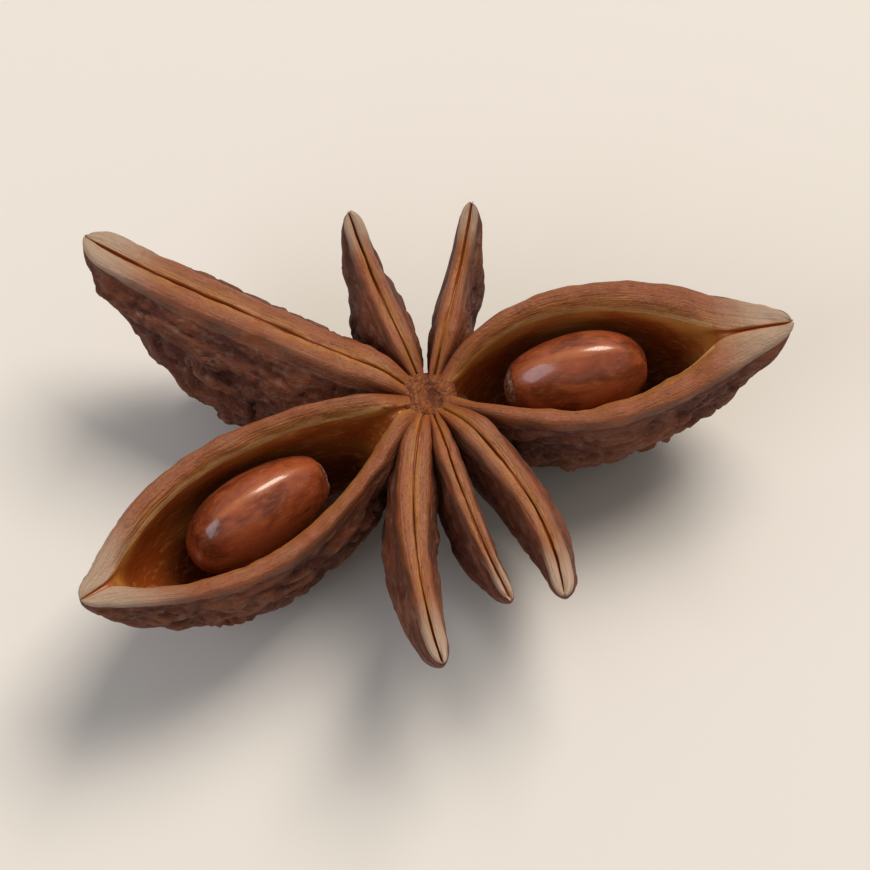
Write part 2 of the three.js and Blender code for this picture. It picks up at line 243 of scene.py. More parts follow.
def lip_height(carpel, share):
    """A dip on the axis, a slack middle, a slow wave, and a rise towards the tip."""
    dip = CRATER["depth"] * np.exp(-((share * carpel["reach"] / CRATER["radius"]) ** 2))
    swing = noise(share * LIP_WAVES["count"], 7.3, carpel["number"]) - 0.5
    wave = LIP_WAVES["height"] * swing * smooth(share * 3)
    return RIM_HEIGHT + carpel["rise"] * share**TIP_POWER - SAG * np.sin(np.pi * share) + wave - dip


def spine(carpel, share):
    """Places (x, y) of the lips' middle, and the level direction across them: out along the azimuth, with a
    sideways drift that grows as a power of the share."""
    turn = np.radians(carpel["azimuth"])
    out, side = np.array([np.cos(turn), np.sin(turn)]), np.array([-np.sin(turn), np.cos(turn)])
    drift = carpel["swerve"] * share ** carpel["bend"]
    slope = carpel["bend"] * carpel["swerve"] * share ** (carpel["bend"] - 1) / carpel["reach"]
    across = side - slope * out
    across = across / np.linalg.norm(across, axis=-1, keepdims=True)
    return out * share * carpel["reach"] + side * drift, across


middle = station_of(CARPELS[0], np.array([[0.48]]))
print("right carpel, at its widest:", {name: round(value.item(), 2) for name, value in middle.items()})

# %% [markdown]
# ## The section across a carpel
#
# Cut across, an open carpel is a thick U: a keel, two walls that lean out and back in, a flat lip on each,
# and a round cavity. A shut one is a drop with a slit in the top. Both come from the same thirteen control
# points on one side, mirrored to the other, and a cubic B-spline runs near them. A spline suits grown
# shapes better than arcs do, because it has no kinks, and moving one control point only changes the wall
# near it.
#
# The wrinkles are finest on the skin, and the lips have the sharpest turns, so the points round the section
# aren't spread evenly: each zone gets its own number.

# %% The section

SKIN_END, LIP_CREST, LINING_START = 0.21, 0.28, 0.345  # places round: keel 0, cavity floor 0.5


def off_keel(turns):
    """How far round from the keel on either side: the distance to the nearest whole turn."""
    return np.abs(turns - np.round(turns))


def half_section(s):
    """Control points of one side, from keel to cavity floor, as sideways and upwards distances from the
    middle of the lips. A shut lip is round on top; an open one is flat and then slopes into the cavity."""
    rim, opening, belly, depth, floor, parted = s.values()
    zero = 0 * rim
    controls = [
        (zero, -depth),
        (0.36 * belly, -0.97 * depth),
        (0.76 * belly, -0.76 * depth),
        (1.02 * belly, -0.45 * depth),
        (mix(belly, rim, 0.55), -0.17 * depth),
        (rim * 1.02, -0.05 * depth),
        (rim * mix(0.9, 1, parted), mix(0.05, 0.13, parted)),
        (mix(opening, rim, 0.5), mix(0.14, 0.12, parted)),
        (mix(opening, rim, mix(0.0, 0.12, parted)), mix(0.02, -0.35, parted)),
        (1.05 * opening, mix(-0.4, -0.25, parted) * floor),
        (1.16 * opening, -0.56 * floor),
        (0.78 * opening, -0.92 * floor),
        (zero, -floor),
    ]
    return np.stack([np.concatenate(pair, axis=-1) for pair in controls], axis=-2)


def closed_curve(controls, turns):
    """A uniform cubic B-spline: each point is a weighted sum of the four control points around it."""
    place = turns * controls.shape[1]
    first = np.floor(place).astype(int)
    t = (place - first)[:, None]
    weights = ((1 - t) ** 3, 3 * t**3 - 6 * t**2 + 4, -3 * t**3 + 3 * t**2 + 3 * t + 1, t**3)
    near = [controls[:, (first + m - 1) % controls.shape[1]] for m in range(4)]
    return sum(weight / 6 * control for weight, control in zip(weights, near))


def places_round(skin, lip, lining):
    """Shares of the way round, from the keel up one side and down the other: so many steps in each zone."""
    zones = ((0, SKIN_END, skin), (SKIN_END, LINING_START, lip), (LINING_START, 0.5, lining))
    half = np.concatenate([np.linspace(a, b, count, endpoint=False) for a, b, count in zones])
    return np.concatenate([half, [0.5], 1 - half[:0:-1]])


def fold(carpel, along, sideways, up):
    """The large folds of the outer wall, from −1 to 1: ridged noise, longer along the carpel than round."""
    return ridged(noise(*in_cells(WRINKLE, carpel["start"], along, sideways, up)))


def sections(carpel, share, turns):
    """Section points (sideways, up) before and after folding, the folds, and how far each point is skin. The
    folds push points out along the section's normal."""
    station = station_of(carpel, share)
    right = half_section(station)
    left = right[:, -2:0:-1] * (-1, 1)
    curve = closed_curve(np.concatenate([right, left], axis=1), turns)
    tangent = np.roll(curve, -1, axis=1) - np.roll(curve, 1, axis=1)
    tangent /= np.maximum(np.linalg.norm(tangent, axis=-1, keepdims=True), 1e-6)
    fullness = np.minimum(1, station["belly"] / THIN) * smooth(station["depth"] / THIN) * nose(share)
    full, none = OUTER_WALL["full"], OUTER_WALL["none"]
    outer = (1 - past(off_keel(turns), full, none - full)) * fullness
    folds = fold(carpel, share * carpel["reach"], curve[..., 0], curve[..., 1])
    push = (outer * 0.5 * WRINKLE["height"] * folds)[..., None]
    folded = curve + push * stacked(tangent[..., 1], -tangent[..., 0])
    return curve, folded, folds, outer


turns = places_round(40, 20, 16)
print(len(turns), "points round a section:", turns[:3].round(4), "...")

# %% [markdown]
# ## Relief too fine for the solid
#
# The large folds are in the solid too. A real carpel also has wrinkles under a millimetre wide with creases
# between them, ripples, dents and fibres on the lips, and a faint ripple in the polished lining. They could
# be bump in a material, but then the outline would stay smooth, so what the mesh can carry is moved points,
# and only finer grain is left to the finish.
#
# Each point also keeps facts that the finish needs later: its place in the carpel's own straight frame
# (grain), the same with the distance across the lip (fibre), which zone of the wall it is on (zones), and
# how it lies: on a ridge or in a groove, how far round the section, and how deep (relief). The finish paints
# shade into the grooves and down the cavity from these last.

# %% Zones and fine relief

# places round the section, or along the carpel, at which one zone gives way to the next
LIP_BORDER = {"start": 0.188, "over": 0.03}
LINING_BORDER = {"start": 0.336, "over": 0.014}
WORN_ALONG, WORN_ROUND = {"start": 0.7, "over": 0.3}, {"start": 0.14, "over": 0.1}
SHUT_SEAM_DEPTH = 0.35  # how far down its wall a shut seam takes its colour from, as a share

# lengths along the carpel, widths across it and heights, in millimetres
FINE_WRINKLES = {"length": 1.5, "width": 0.75, "height": 0.16}
CREASES = {"length": 0.75, "width": 0.5, "height": 0.07}
WANDERING = {"length": 1.9, "width": 1.4, "by": 1.8}  # of the wrinkles, by so many of their own widths
LIP_RIPPLES = {"length": 1.3, "height": 0.16}
LIP_DENTS = {"length": 0.5, "width": 0.4, "height": 0.09}
LIP_FIBRES = {"length": 2.2, "width": 0.13, "height": 0.015}
LIP_START = 3  # the lips' relief is full this far from the axis
LINING_RIPPLES = {"length": 1.6, "width": 0.6, "height": 0.06}


def zones_of(share, turns):
    """Shares from 0 to 1 of lip, lining and worn tip, and of broken wood, which a carpel has none of."""
    place = off_keel(turns)
    lining = past(place, **LINING_BORDER)
    lip = past(place, **LIP_BORDER) * (1 - lining)
    tip = past(share, **WORN_ALONG) * past(place, **WORN_ROUND)
    return stacked(lip, lining, tip, 0)


def across_lip(section, turns):
    """Distance round the section from the lips' crest, negative on the skin's side, alike on both sides."""
    step = np.linalg.norm(np.diff(section, axis=1, append=section[:, :1]), axis=-1)
    reached = np.cumsum(step, axis=1) - step
    from_keel = np.minimum(reached, step.sum(axis=1, keepdims=True) - reached)
    crest = np.argmin(np.abs(turns - LIP_CREST))
    return from_keel - from_keel[:, crest:crest + 1]


def skin_relief(start, along, sideways, up):
    """Height of wrinkles and creases, and the same from groove (−1) to ridge (1): grooved noise of two
    sizes, bent by a third. The creases run at 45 degrees to the wrinkles."""
    bend = WANDERING["by"] * (noise(*in_cells(WANDERING, start, along, sideways, up)) - 0.5)
    x, y, z = in_cells(FINE_WRINKLES, start, along, sideways, up)
    wrinkles = grooved(noise(x + bend, y + bend, z + bend))
    x, y, z = in_cells(CREASES, start, along, sideways + up, up - sideways)
    creases = grooved(noise(x + bend, y, z + bend))
    wrinkle_height = FINE_WRINKLES["height"] * (wrinkles - GROOVED_MEAN)
    crease_height = CREASES["height"] * (creases - GROOVED_MEAN)
    return wrinkle_height + crease_height, 0.6 * wrinkles + 0.4 * creases


def lip_relief(start, along, place, side):
    """Height of ripples, dents and fibres, and the dents from −1 to 1: stretched noise of three sizes that
    reads the place across the lip, and is not the same on both sides."""
    ripples = noise(along / LIP_RIPPLES["length"] + start, side, 0.4) - 0.5
    dents = noise(along / LIP_DENTS["length"] + start, place / LIP_DENTS["width"], 3 * side) - 0.5
    fibres = noise(along / LIP_FIBRES["length"] + start, place / LIP_FIBRES["width"], side) - 0.5
    height = LIP_RIPPLES["height"] * ripples + LIP_DENTS["height"] * dents + LIP_FIBRES["height"] * fibres
    return height, 2 * dents


def fine_relief(carpel, along, sideways, up, lip_place, zones, outer):
    """Height of the fine relief, and the same from groove (−1) to ridge (1), each zone with its own."""
    start = 40 + carpel["start"]
    skin, skin_tone = skin_relief(start, along, sideways, up)
    lip, lip_tone = lip_relief(start, along, lip_place, np.sign(sideways))
    ripples = noise(*in_cells(LINING_RIPPLES, start, along, sideways, up)) - 0.5
    lining = zones[..., 1] * LINING_RIPPLES["height"] * ripples
    height = outer * skin + zones[..., 0] * smooth(along / LIP_START) * lip + lining
    return height, mix(skin_tone, lip_tone, zones[..., 0])


def normals_of(points):
    """Unit normals of a grid: the cross product of the step round and the step along."""
    round_step = np.roll(points, -1, axis=1) - np.roll(points, 1, axis=1)
    normal = np.cross(round_step, np.gradient(points, axis=0))
    return normal / np.maximum(np.linalg.norm(normal, axis=-1, keepdims=True), 1e-9)


# %% [markdown]
# ## From a grid to a closed mesh
#
# Every piece here is a grid of points, so many rings and so many points a ring, closed at both ends by a
# fan. One function turns such a grid into a mesh. The facts that the finish needs are stored on the faces'
# corners, because a Boolean union carries corner values over to the joined mesh, also where it cuts a face.

# %% Meshes from grids


def tube_faces(rings, count):
    """Quads between neighbouring rings, and a fan round an extra point at each end."""
    i, n = np.meshgrid(np.arange(rings - 1), np.arange(count), indexing="ij")
    here, beside = i * count + n, i * count + (n + 1) % count
    quads = stacked(here, beside, beside + count, here + count).reshape(-1, 4)
    root = stacked(rings * count, beside[0], here[0])
    tip = stacked(rings * count + 1, here[-1] + count, beside[-1] + count)
    return quads.tolist() + root.tolist() + tip.tolist()


def with_ends(grid):
    """The grid as one row of values, followed by the mean of its first ring and of its last."""
    ends = grid[[0, -1]].mean(axis=1)
    return np.concatenate([grid.reshape(-1, grid.shape[-1]), ends])


def add_object(name, data):
    """A new object with this mesh, light or camera, put in the scene."""
    made = bpy.data.objects.new(name, data)
    bpy.context.scene.collection.objects.link(made)
    return made


def tube_object(name, points, facts):
    """A closed mesh object through a grid of points in millimetres, with its facts on the corners."""
    mesh = bpy.data.meshes.new(name)
    mesh.from_pydata((with_ends(points) * MM).tolist(), [], tube_faces(*points.shape[:2]))
    corner_points = np.empty(len(mesh.loops), dtype=np.int32)
    mesh.loops.foreach_get("vertex_index", corner_points)
    for fact, grid in facts.items():
        kind, field = ("FLOAT_COLOR", "color") if grid.shape[-1] == 4 else ("FLOAT_VECTOR", "vector")
        values = with_ends(grid)[corner_points].astype(np.float32)
        mesh.attributes.new(fact, kind, "CORNER").data.foreach_set(field, values.ravel())
    return add_object(name, mesh)


def triangle_count(mesh):
    """A face of so many corners makes two triangles fewer."""
    return sum(len(face.vertices) - 2 for face in mesh.polygons)


# %% [markdown]
# ## The eight carpels
#
# Each ring of section points is rolled by the carpel's lean and stood on its spine. Rings lie closer
# together towards the beak, where the form changes fastest. The keels are cut off level at the height of
# the surface that the pod lies on, as wear flattens the real ones.

# %% Make the carpels

BIG_REACH = 15  # a carpel with a longer reach is a full-grown one


def ring_shares(rings):
    """Shares of the length: 1 − (1 − m)^1.9 of a step m that is itself half linear and half squared."""
    step = np.linspace(0, 1, rings)[:, None]
    return np.minimum(0.9995, 1 - (1 - mix(step, step**2, 0.5)) ** 1.9)


def placed(carpel, share, section):
    """Section points turned by the lean about the lips' middle, and set across the spine."""
    roll = np.radians(carpel["lean"]) * smooth(share * 2)
    sideways, up = section[..., 0], section[..., 1]
    rolled = sideways * np.cos(roll) - up * np.sin(roll)
    height = lip_height(carpel, share) + up * np.cos(roll) + sideways * np.sin(roll)
    spot, across = spine(carpel, share)
    plan = spot[:, None] + rolled[..., None] * across[:, None]
    return np.concatenate([plan, height[..., None]], axis=-1)


def carpel_object(carpel, rings, counts):
    """The carpel's surface: sections along the spine, moved out along their normals by the fine relief."""
    share, turns = ring_shares(rings), places_round(*counts)
    bare, section, folds, outer = sections(carpel, share, turns)
    along = share * carpel["reach"] + 0 * turns
    sideways, up = section[..., 0], section[..., 1]
    zones = zones_of(share, turns)
    lip_place = across_lip(bare, turns)
    height, tone = fine_relief(carpel, along, sideways, up, lip_place, zones, outer)
    points = placed(carpel, share, section)
    points = points + normals_of(points) * height[..., None]
    points[..., 2] = np.maximum(REST_HEIGHT, points[..., 2])
    tone = mix(0.4 * folds + 0.6 * tone, tone, zones[..., 0])
    parted = station_of(carpel, share)["parted"]
    down = mix(SHUT_SEAM_DEPTH, np.clip(-up / carpel["depth"], 0, 1), smooth(parted * 3))
    reading = along + 30 * carpel["number"]  # no two carpels share a pattern
    return tube_object("carpel_" + carpel["name"], points, {
        "grain": stacked(reading, sideways, up),
        "fibre": stacked(reading, lip_place, 2 * np.sign(sideways)),
        "zones": zones,
        "relief": stacked(tone, off_keel(turns), down),
    })


def detail_of(carpel):
    """Rings and points in each zone, so that the husk as a whole stays light enough."""
    if carpel["gape"] > 0:
        return 130, (54, 20, 18)
    if carpel["reach"] > BIG_REACH:
        return 130, (54, 17, 5)
    return 76, (24, 12, 4)


carpels = [carpel_object(carpel, *detail_of(carpel)) for carpel in CARPELS]
for made in carpels:
    print(made.name, triangle_count(made.data), "triangles")

# %% [markdown]
# ## The column and the stump of the stalk
#
# The column is what the carpels grew on. It is nearly hidden: a rough knob shows in the dip in the middle of
# the star, and the stump of the stalk shows only from below, broken off across its fibres. It is turned on
# the axis like a vase, with a little noise on its radius so that it isn't round, and with lumps on the knob.

# %% Make the column

COLUMN_STEPS = {"rings": 90, "round": 64}
# in millimetres, apart from how many ridges of bark there are in a radian round
BARK = {"height": 0.22, "coarse": 3, "tall": 1.5, "fine": 7, "short": 0.8}
BREAK = {"depth": 0.22, "splinters": 3, "radius": 1.1}  # of the torn foot, with 3 splinters a millimetre
LUMPS = {"height": 0.4, "coarse": 0.42, "fine": 0.17, "start": 0.5, "over": 0.35}  # start: below the top


def column_profile(rings):
    """Radius and height from the foot's centre, out and up to the middle of the knob, evenly spaced."""
    radius, knob, waist, top = (COLUMN[k] for k in ("radius", "knob", "waist", "top"))
    foot, height, flare = STUMP["radius"], STUMP["height"], STUMP["flare"]
    corners = np.array([
        (0.03, 0), (foot, 0), (foot + 0.4 * flare, 0.2 * height), (foot - 0.6 * flare, 0.6 * height),
        (foot + flare, height), (waist, height + 0.6), (radius, mix(height, top, 0.3)),
        (0.95 * radius, mix(height, top, 0.55)), (0.9 * knob, mix(height, top, 0.8)), (knob, top - 0.4),
        (0.85 * knob, top - 0.1), (0.5 * knob, top), (0.2 * knob, top - 0.12), (0.03, top - 0.25),
    ])
    reached = np.concatenate([[0], np.cumsum(np.linalg.norm(np.diff(corners, axis=0), axis=1))])
    place = np.linspace(0, reached[-1], rings)
    return np.interp(place, reached, corners[:, 0]), np.interp(place, reached, corners[:, 1])


def two_noises(coarse, fine):
    """Noise at coarse places plus half as much at fine ones, about 0 in the mean."""
    return noise(*coarse) + 0.5 * noise(*fine) - 0.75


def column_object():
    """The profile turned on the axis, with bark on the radius, a torn foot and a lumpy knob."""
    radius, height = (value[:, None] for value in column_profile(COLUMN_STEPS["rings"]))
    turn = np.linspace(0, 2 * np.pi, COLUMN_STEPS["round"], endpoint=False)
    x, y = np.cos(turn), np.sin(turn)
    many, more = BARK["coarse"], BARK["fine"]
    bark = two_noises((many * x, many * y, height / BARK["tall"]),
                      (more * x + 5, more * y, height / BARK["short"]))
    is_side = past(height, 0.02, 0.3) * smooth(radius / 0.6)
    wide = radius + BARK["height"] * bark * is_side
    is_foot = (1 - is_side) * smooth((BREAK["radius"] - radius) * 4)
    fibres = radius * BREAK["splinters"]
    torn = BREAK["depth"] * noise(fibres * x + 9, fibres * y, 2.5) * is_foot
    big, small = LUMPS["coarse"], LUMPS["fine"]
    lumps = two_noises((wide * x / big + 3, wide * y / big, 1.7), (wide * x / small, wide * y / small, 5.1))
    on_top = past(height, COLUMN["top"] - LUMPS["start"], LUMPS["over"])
    level = height + np.where(height < 0.5, torn, LUMPS["height"] * lumps * on_top)
    grain = stacked(level + 300, wide * x, wide * y)
    wood = np.maximum(np.where(height < 0.05, 1.0, 0.0), on_top) + 0 * turn
    return tube_object("column", stacked(wide * x, wide * y, level), {
        "grain": grain, "fibre": grain, "zones": stacked(0, 0, 0, wood),
        "relief": stacked(mix(2 * bark, 2.4 * lumps, on_top), 0, 0),
    })


column = column_object()
print("column", triangle_count(column.data), "triangles")

# %% [markdown]
# ## One husk
#
# On the real fruit the carpels are grown together at their roots, so the husk is one piece. Nine shells
# pushed through each other would look the same from outside, but they would hide faces inside one another
# and would not be a solid. A Boolean union drops those faces. The Manifold solver is the quick and safe one
# for closed meshes. Where walls cross twice, the union can shut in a pocket, so we keep only the largest
# connected surface, the outer one.

# %% Join them

CREASE = 55  # degrees between faces, past which the edge stays sharp
SHORTEST_EDGE = 0.001  # in millimetres; some come out shorter where walls cross


def connected_parts(mesh):
    """A number for each point, shared by all that edges connect: each point takes the lowest number among
    its neighbours, again and again, until none changes."""
    ends = np.empty(len(mesh.edges) * 2, dtype=np.int32)
    mesh.edges.foreach_get("vertices", ends)
    ends = ends.reshape(-1, 2)
    spread, part = np.arange(len(mesh.vertices)), None
    while not np.array_equal(spread, part):
        part = spread.copy()
        np.minimum.at(spread, ends, part[ends].min(axis=1, keepdims=True))
        spread = spread[spread]
    return part


def keep_outer_surface(mesh):
    """Removes pockets, and edges too short to matter, and returns the number of pockets. The outer surface
    is the connected part with the most points."""
    part = connected_parts(mesh)
    numbers, sizes = np.unique(part, return_counts=True)
    inside = np.flatnonzero(part != numbers[sizes.argmax()])
    form = bmesh.new()
    form.from_mesh(mesh)
    form.verts.ensure_lookup_table()
    bmesh.ops.delete(form, geom=[form.verts[i] for i in inside], context="VERTS")
    bmesh.ops.dissolve_degenerate(form, edges=form.edges, dist=SHORTEST_EDGE * MM)
    form.to_mesh(mesh)
    form.free()
    return len(sizes) - 1


def union(name, first, others):
    """One closed mesh with the outer surface of all of them, in a new object."""
    group = bpy.data.collections.new(name + "_pieces")
    for other in others:
        group.objects.link(other)
    joined = first.modifiers.new("union", "BOOLEAN")
    joined.operation, joined.solver = "UNION", "MANIFOLD"
    joined.operand_type, joined.collection = "COLLECTION", group
    mesh = bpy.data.meshes.new_from_object(first.evaluated_get(bpy.context.evaluated_depsgraph_get()))
    for used in (first, *others):
        bpy.data.meshes.remove(used.data)
    bpy.data.collections.remove(group)
    pockets = keep_outer_surface(mesh)
    print("pockets shut in and removed:", pockets)
    mesh.name = name
    return add_object(name, mesh)


husk = union("husk_of_eight_carpels", column, carpels)
husk.data.shade_smooth()
husk.data.set_sharp_from_angle(angle=np.radians(CREASE))
print("husk:", triangle_count(husk.data), "triangles")

# %% [markdown]
# ## The seeds
#
# A star anise seed is a flattened egg, polished like a horse chestnut. It stands on edge in its carpel, so
# the narrow side looks up, and a fine raised line, the raphe, runs along that side. At the blunt end
# towards the column is the hilum, the small dull scar where the seed was held. A sphere scaled three ways
# would be too even, so the girth is a power of the sine, a little fuller at the outer end, with a soft
# unevenness all over.

# %% Make the seeds

# along is a share of the carpel's length, sunk is below its lips, and roll is in degrees
SEEDS = rows_of(
    ("name", "carpel", "along", "sunk", "aside", "length", "width", "height", "roll"),
    ("seed_right", 0, 0.415, -0.3, 0.15, 6.5, 3.6, 5.3, 4),
    ("seed_front_left", 1, 0.485, 0.1, -0.4, 7.2, 3.6, 5.2, -3),
)
SEED_STEPS = {"rings": 96, "round": 80}
SEED_FORM = {"pole": 0.03, "scar": 0.97, "power": 0.85, "swell": 0.1}  # see the formula below
RAPHE = {"height": 0.07, "width": 0.16}  # width in radians round the seed
HILUM = {"radius": 0.75, "depth": 0.12, "off": 0.35}  # off: above the middle of the blunt end
SEED_UNEVENNESS = 0.12


def seed_surface(seed):
    """Places on the seed, lying along X, and how far each is hilum (x) and raphe (y). At a polar angle p
    the girth is sin(p)^power · (1 − swell · cos(p)), and the blunt end is cut flat at the share "scar"."""
    pole = SEED_FORM["pole"]
    polar = np.linspace(pole, np.pi - pole, SEED_STEPS["rings"])[:, None]
    turn = -np.linspace(0, 2 * np.pi, SEED_STEPS["round"], endpoint=False)
    along = np.maximum(-SEED_FORM["scar"], -np.cos(polar)) + 0 * turn
    girth = np.sin(polar) ** SEED_FORM["power"] * (1 + SEED_FORM["swell"] * along)
    points = stacked(
        along * seed["length"] / 2,
        np.sin(turn) * girth * seed["width"] / 2,
        np.cos(turn) * girth * seed["height"] / 2,
    )
    from_top = turn - 2 * np.pi * np.round(turn / 2 / np.pi)
    raphe = np.exp(-((from_top / RAPHE["width"]) ** 2)) * np.sin(polar) ** 2
    off_scar = np.hypot(points[..., 1], points[..., 2] - HILUM["off"]) / HILUM["radius"]
    scar = smooth((1.25 - off_scar) / 0.4) * (along < 0)
    x, y, z = np.moveaxis(points, -1, 0)
    uneven = noise(x / 2.1 + seed["length"] * 7, y / 1.6, z / 1.9) - 0.5
    height = RAPHE["height"] * raphe - HILUM["depth"] * scar - SEED_UNEVENNESS * np.abs(uneven)
    points = points + normals_of(points) * height[..., None]
    return points, stacked(scar, raphe, 0)


def seed_object(seed):
    """The seed rolled, headed along its carpel and set to its height."""
    carpel = CARPELS[seed["carpel"]]
    share = np.array([[seed["along"]]])
    spot, across = (value[0] for value in spine(carpel, share))
    lift = lip_height(carpel, share).item() - seed["sunk"] - seed["height"] / 2
    points, marks = seed_surface(seed)
    turn = Euler((np.radians(seed["roll"]), 0, np.arctan2(-across[0], across[1]))).to_matrix()
    standing = points @ np.array(turn).T + [*(spot + across * seed["aside"]), lift]
    return tube_object("loose_" + seed["name"], standing, {"grain": points, "marks": marks})


seeds = {seed["name"]: seed_object(seed) for seed in SEEDS}
for name, made in seeds.items():
    made.data.shade_smooth()
    print(made.name, triangle_count(made.data), "triangles")

# %% [markdown]
# ## Colours and nodes
#
# Colours are easiest to name as the sRGB hex values that a screen shows, but a render adds up light, so
# each one is turned to linear first. A material is a tree of nodes. One helper adds a node, sets its
# fields, and either links each input to another node's output or gives it a value.

# %% Colour and node helpers


def linear(hex_colour):
    """sRGB hex to linear RGBA: each channel over 0.04045 is ((c + 0.055) / 1.055)^2.4, else c / 12.92."""
    channels = [int(hex_colour[i:i + 2], 16) / 255 for i in (1, 3, 5)]
    return [((c + 0.055) / 1.055) ** 2.4 if c > 0.04045 else c / 12.92 for c in channels] + [1.0]


def add(tree, kind, inputs=None, **fields):
    """Adds a node, sets its fields, and fills its inputs by name or number: an output is linked, and
    anything else is the input's value."""
    node = tree.nodes.new(kind)
    for field, value in fields.items():
        setattr(node, field, value)
    for socket, value in (inputs or {}).items():
        if isinstance(value, bpy.types.NodeSocket):
            tree.links.new(value, node.inputs[socket])
        else:
            node.inputs[socket].default_value = value
    return node


def blend(tree, factor, a, b):
    """Colour a where the factor is 0 and b where it is 1. Colours are hex values or outputs."""
    a, b = (linear(c) if isinstance(c, str) else c for c in (a, b))
    return add(tree, "ShaderNodeMix", {0: factor, 6: a, 7: b}, data_type="RGBA").outputs[2]


def between(tree, value, low, high, to_low=0.0, to_high=1.0):
    """The value moved smoothly from the range low to high to the range to_low to to_high, and held."""
    limits = {"Value": value, "From Min": low, "From Max": high, "To Min": to_low, "To Max": to_high}
    return add(tree, "ShaderNodeMapRange", limits, interpolation_type="SMOOTHSTEP").outputs["Result"]


def layered(tree, colours, base, *layers):
    """The base colour under layers of others. A layer has its colour's name, a value, the two limits
    between which the value brings it in, and the most that it covers, if that isn't all."""
    colour = colours[base]
    for name, value, low, high, *most in layers:
        colour = blend(tree, between(tree, value, low, high, 0.0, *most), colour, colours[name])
    return colour


def mix_numbers(tree, factor, a, b):
    """a where the factor is 0 and b where it is 1, straight between."""
    return add(tree, "ShaderNodeMix", {0: factor, 2: a, 3: b}).outputs[0]


def sum_of(tree, a, b, weight=1.0):
    """a plus the weight times b."""
    return add(tree, "ShaderNodeMath", {0: b, 1: weight, 2: a}, operation="MULTIPLY_ADD").outputs["Value"]


def figure(tree, place, length, width, detail=3.0, distortion=0.0):
    """Noise whose spots are length by width by width millimetres, as wood figure and fibres are."""
    scaled = add(tree, "ShaderNodeVectorMath", {0: place, 1: (1 / length, 1 / width, 1 / width)},
                 operation="MULTIPLY").outputs["Vector"]
    return add(tree, "ShaderNodeTexNoise", {
        "Vector": scaled, "Scale": 1.0, "Detail": detail, "Roughness": 0.55, "Distortion": distortion,
    }).outputs["Fac"]


def fact_of(tree, name):
    """A fact that is stored on the mesh, as a vector."""
    return add(tree, "ShaderNodeAttribute", attribute_name=name).outputs["Vector"]


def parts_of(tree, vector):
    """The X, Y and Z of a vector."""
    return add(tree, "ShaderNodeSeparateXYZ", {"Vector": vector}).outputs


def new_material(name):
    """A material and its empty node tree."""
    material = bpy.data.materials.new(name)
    material.use_nodes = True
    material.node_tree.nodes.clear()
    return material, material.node_tree


def finish(tree, inputs):
    """A Principled shader with these inputs, as the material's surface."""
    shader = add(tree, "ShaderNodeBsdfPrincipled", inputs)
    add(tree, "ShaderNodeOutputMaterial", {"Surface": shader.outputs["BSDF"]})


print("the hex value #808080, linear:", round(linear("#808080")[0], 3))

# %% [markdown]
# ## The husk's finish
#
# The husk is dried pericarp, a thin woody wall with three faces. The skin outside has shrunk into folds: it
# is dull and red-brown and grey on the rubbed ridges, and painted nearly black in the grooves as shade. The
# lips are where the seam tore: pale, with fibres along them, and paler still along their inner edge, partly
# as a painted highlight. The lining inside was hard and smooth from the start, so it keeps a shine; it is
# golden near the lips and painted darker below, as shade down in the cavity.
#
# One material holds all three, because on the fruit they run into each other. The zones fact says where
# each one is, and a little noise is added to it so that the borders aren't ruled lines. Patterns read the
# grain fact, which is in millimetres, so the numbers below are real sizes. What is finer than the mesh is
# bump: grit and puckers on the skin, and fibres on the lips.

# %% The husk's material

# the groove colour is painted shade, nearly black in the creases between the folds
SKIN_COLOURS = {
    "painted_shade_groove": "#1c0c07", "flank": "#542615", "ridge": "#80482b", "warm": "#743718", "bloom": "#856b59",
}
# the inner colour is partly the lip's own paleness and partly a painted highlight along the inner edge
LIP_COLOURS = {
    "outer": "#5a290d", "middle": "#844314", "inner_and_painted_highlight": "#a66929", "edge": "#c89a5e", "warm": "#893f13",
    "fibre": "#4b240e", "worn": "#a89079",
}
# the deep colour is painted shade, darkening the lining down into the cavity
LINING_COLOURS = {
    "edge": "#b87a36", "wall": "#9c5a26", "warm": "#8f3d12", "painted_cavity_shade": "#552a12", "vein": "#be8448",
}
WOOD_COLOURS = {"end": "#955526", "fibre": "#743c18", "pore_and_hollow_shade": "#4c220d"}
ROUGHNESS = {"skin": (0.62, 0.86), "lip": (0.34, 0.52), "lining": (0.22, 0.36)}
GRAIN_HEIGHT = {"full": 0.07, "lining": 0.12}  # in millimetres, and the lining's as a share of that


def skin_colour(tree, grain, tone):
    """Painted shade in the grooves, flanks and ridges by height, with warm patches 4 mm across and a grey
    bloom in specks.
    """
    patches = figure(tree, grain, 4.0, 2.6)
    specks = figure(tree, grain, 0.5, 0.3, detail=5.0)
    return layered(
        tree, SKIN_COLOURS, "painted_shade_groove",
        ("flank", tone, -0.9, 0.1),
        ("warm", patches, 0.42, 0.68, 0.7),
        ("ridge", tone, 0.3, 1.0, 0.6),
        ("bloom", specks, 0.48, 0.72, 0.42),
    )


